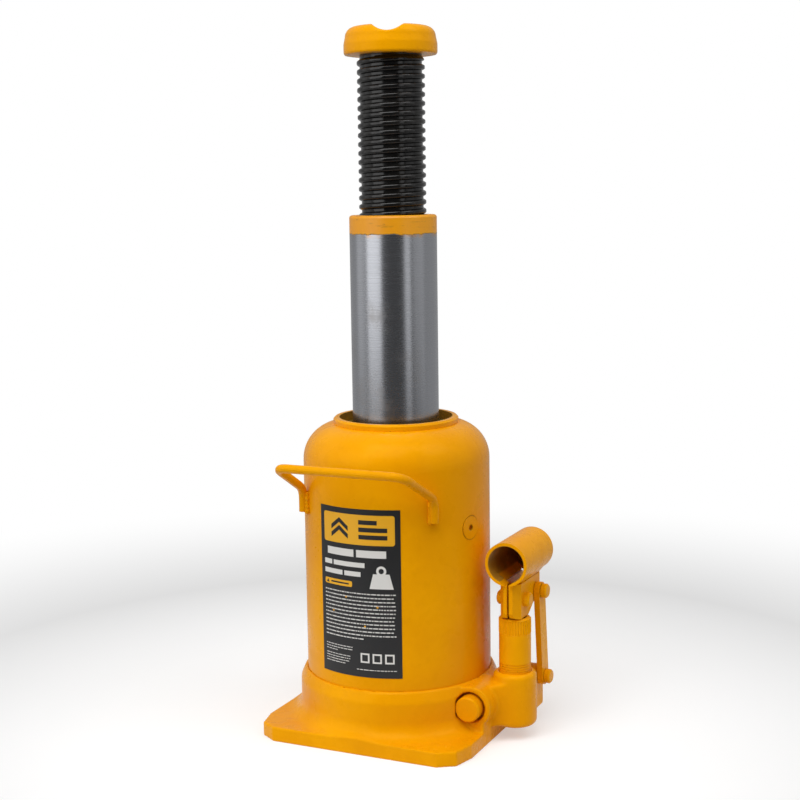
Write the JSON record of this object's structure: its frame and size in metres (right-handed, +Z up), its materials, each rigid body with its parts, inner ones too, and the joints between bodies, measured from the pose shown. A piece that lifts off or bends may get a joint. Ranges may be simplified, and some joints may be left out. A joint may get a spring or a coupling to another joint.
{
  "type": "bottle jack",
  "caption": "Hydraulic bottle jack with a lever-driven hand pump, a lifting ram, a screw-out saddle and a carry handle.",
  "frame": {"origin": "on the ram axis at the underside of the base", "axes": "+Z up along the ram; -Y the front, where the operator stands; +X the side with the hand pump"},
  "size_m": [0.1813, 0.168, 0.484],
  "materials": {
    "yellow_enamel": "glossy yellow enamel, slightly orange-peeled, chipped at edges",
    "ground_steel": "ground and polished steel",
    "black_steel": "black oxide, satin, oily",
    "bright_steel": "bright hardened steel",
    "bronze": "bronze, machined",
    "zinc_plate": "yellow zinc plate, oily",
    "copper": "soft copper washer",
    "seal_rubber": "black nitrile rubber",
    "yellow_rubber": "rubber plug under the yellow paint",
    "label_vinyl": "printed black vinyl film",
    "mesh_steel": "fine woven steel mesh"
  },
  "bodies": {
    "base": {"base_casting": "yellow_enamel", "oil_tank": "yellow_enamel", "tank_gasket": "seal_rubber", "pressure_cylinder": "ground_steel", "cylinder_gasket": "copper", "top_nut": "zinc_plate", "rod_wiper": "seal_rubber", "carry_handle": "yellow_enamel", "filler_plug": "yellow_rubber", "label_plate": "label_vinyl", "pump_cylinder": "yellow_enamel", "pump_packing": "seal_rubber", "inlet_ball": "bright_steel", "outlet_ball": "bright_steel", "outlet_spring": "bright_steel", "overload_screw": "black_steel", "overload_spring": "bright_steel", "overload_ball": "bright_steel", "suction_filter": "mesh_steel", "link_base_pin": "yellow_enamel", "release_ball": "bright_steel"},
    "ram": {"ram": "ground_steel", "ram_guide_ring": "bronze", "ram_cup_seal": "seal_rubber", "ram_seal_retainer": "bright_steel"},
    "screw_carrier": {"screw_stop_ring": "black_steel"},
    "screw": {"extension_screw": "black_steel", "saddle": "yellow_enamel"},
    "pump_piston": {"pump_piston": "yellow_enamel", "pump_piston_ring": "seal_rubber"},
    "handle_socket": {"handle_socket": "yellow_enamel", "piston_pin": "yellow_enamel", "link_top_pin": "yellow_enamel"},
    "link": {"link_bars": "yellow_enamel"},
    "release_valve": {"release_screw": "yellow_enamel", "release_oring": "seal_rubber"}
  },
  "joints": [
    {"name": "ram_lift", "type": "slide", "parent": "base", "child": "ram", "axis": [0, 0, 1], "range_m": [-0.135, 0]},
    {"name": "screw_lift", "type": "slide", "parent": "ram", "child": "screw_carrier", "axis": [0, 0, 1], "range_m": [-0.105, 0]},
    {"name": "screw_turn", "type": "hinge", "parent": "screw_carrier", "child": "screw", "pos_m": [0, 0, 0.4655], "axis": [0, 0, 1], "range_deg": [-6302, 2]},
    {"name": "pump_stroke", "type": "slide", "parent": "base", "child": "pump_piston", "axis": [0, 0, 1], "range_m": [0, 0.0139]},
    {"name": "socket_tilt", "type": "hinge", "parent": "pump_piston", "child": "handle_socket", "pos_m": [0.088, 0, 0.0976], "axis": [-1, 0, 0], "range_deg": [-0.2, 38.4]},
    {"name": "link_swing", "type": "hinge", "parent": "base", "child": "link", "pos_m": [0.088, 0.0291, 0.0351], "axis": [1, 0, 0], "range_deg": [-0.1, 3.2]},
    {"name": "release_turn", "type": "hinge", "parent": "base", "child": "release_valve", "pos_m": [0.067, -0.029, 0.027], "axis": [0, -1, 0], "range_deg": [0, 540]}
  ],
  "couplings": [
    {"joint": "screw_turn", "follows": "screw_lift", "rad_per_m": 1047.2},
    {"joint": "socket_tilt", "follows": "pump_stroke", "rad_per_m": 47.847},
    {"joint": "link_swing", "follows": "pump_stroke", "rad_per_m": 3.7799}
  ]
}
